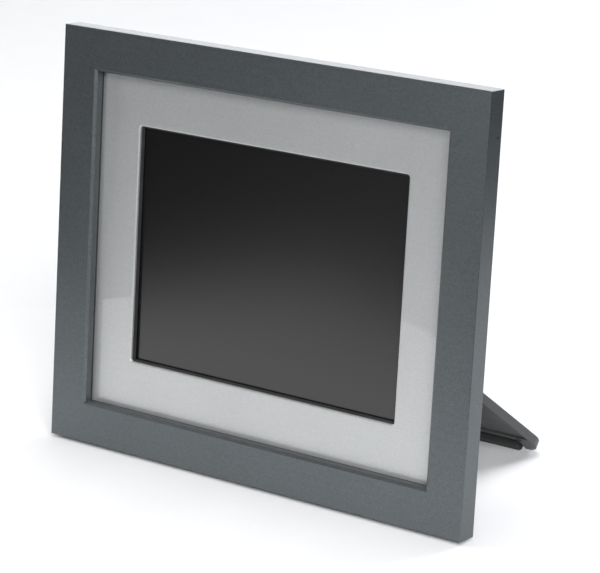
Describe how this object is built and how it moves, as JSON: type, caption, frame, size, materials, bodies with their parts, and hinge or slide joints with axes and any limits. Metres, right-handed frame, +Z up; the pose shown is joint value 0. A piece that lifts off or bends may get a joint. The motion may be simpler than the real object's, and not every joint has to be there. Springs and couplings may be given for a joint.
{
  "type": "digital photo frame",
  "caption": "Desk photo frame with a recessed flat display, a metallic moulding, a silver inner mat and a folding rear stand.",
  "frame": {"origin": "on the desk, in the middle of the footprint of the frame and its open stand", "axes": "+X to the viewer's right along the frame's width, +Y from the front towards the stand, +Z up; the picture faces -Y and leans back"},
  "size_m": [0.254, 0.1316, 0.2164],
  "materials": {
    "graphite_paint": "satin graphite metallic paint on a moulding",
    "silver_paint": "fine silver metallic paint on thin sheet",
    "black_foam": "matt black foam",
    "black_plastic": "fine-textured black moulding",
    "screen_glass": "dark display glass with a matt face film",
    "sheet_steel": "zinc plated sheet",
    "diffuser_film": "white diffusing film",
    "clear_acrylic": "clear acrylic block",
    "lamp_glass": "frosted lamp tube",
    "brass": "turned brass",
    "screw_steel": "black zinc plated screws",
    "circuit_board": "green solder mask",
    "chip_black": "moulded component case",
    "capacitor_can": "printed aluminium can",
    "ribbon_film": "amber film",
    "contact_white": "cream connector plastic",
    "socket_metal": "tinned connector shell",
    "cone_paper": "coated paper cone",
    "button_plastic": "satin black button",
    "charcoal_plastic": "fine-textured charcoal moulding",
    "foot_rubber": "matt black rubber",
    "bush_nylon": "natural nylon"
  },
  "bodies": {
    "panel": {"front_frame": "graphite_paint", "lip_seal": "black_foam", "mat_plate": "silver_paint", "screen_gasket": "black_foam", "retainer_frame": "black_plastic", "lcd_bezel": "sheet_steel", "lcd_panel": "screen_glass", "optical_sheets": "diffuser_film", "light_guide": "clear_acrylic", "backlight_lamp": "lamp_glass", "backlight_tray": "sheet_steel", "chassis_plate": "sheet_steel", "chassis_standoffs": "brass", "chassis_screws": "screw_steel", "lcd_clips": "sheet_steel", "clip_screws": "screw_steel", "main_board": "circuit_board", "board_standoffs": "brass", "board_screws": "screw_steel", "processor_chip": "chip_black", "memory_chips": "chip_black", "capacitors": "capacitor_can", "power_inductor": "chip_black", "flex_connector": "contact_white", "display_ribbon": "ribbon_film", "tact_switches": "chip_black", "power_board": "circuit_board", "inverter_board": "circuit_board", "socket_board": "circuit_board", "inverter_transformer": "chip_black", "dc_inlet": "chip_black", "usb_socket": "socket_metal", "card_socket": "socket_metal", "speaker_left": "black_plastic", "speaker_right": "black_plastic", "speaker_cones": "cone_paper", "rear_cover": "black_plastic", "rear_cover_screws": "screw_steel", "hinge_pins": "screw_steel", "friction_washers": "sheet_steel", "desk_feet": "foot_rubber"},
    "stand": {"stand_leg": "charcoal_plastic", "stand_foot_pad": "foot_rubber", "stand_bushes": "bush_nylon"},
    "power_button": {"power_button": "button_plastic"},
    "menu_button": {"menu_button": "button_plastic"},
    "previous_button": {"previous_button": "button_plastic"},
    "next_button": {"next_button": "button_plastic"},
    "enter_button": {"enter_button": "button_plastic"}
  },
  "joints": [
    {"name": "stand_hinge", "type": "hinge", "parent": "panel", "child": "stand", "pos_m": [0, -0.03049, 0.08085], "axis": [1, 0, 0], "range_deg": [0, 124.74]},
    {"name": "power_button_press", "type": "slide", "parent": "panel", "child": "power_button", "axis": [0, -0.9958, 0.0917], "range_m": [0, 0.0008], "stiffness_N_per_m": 900, "springref_m": -0.0003},
    {"name": "menu_button_press", "type": "slide", "parent": "panel", "child": "menu_button", "axis": [0, -0.9958, 0.0917], "range_m": [0, 0.0008], "stiffness_N_per_m": 900, "springref_m": -0.0003},
    {"name": "previous_button_press", "type": "slide", "parent": "panel", "child": "previous_button", "axis": [0, -0.9958, 0.0917], "range_m": [0, 0.0008], "stiffness_N_per_m": 900, "springref_m": -0.0003},
    {"name": "next_button_press", "type": "slide", "parent": "panel", "child": "next_button", "axis": [0, -0.9958, 0.0917], "range_m": [0, 0.0008], "stiffness_N_per_m": 900, "springref_m": -0.0003},
    {"name": "enter_button_press", "type": "slide", "parent": "panel", "child": "enter_button", "axis": [0, -0.9958, 0.0917], "range_m": [0, 0.0008], "stiffness_N_per_m": 900, "springref_m": -0.0003}
  ]
}
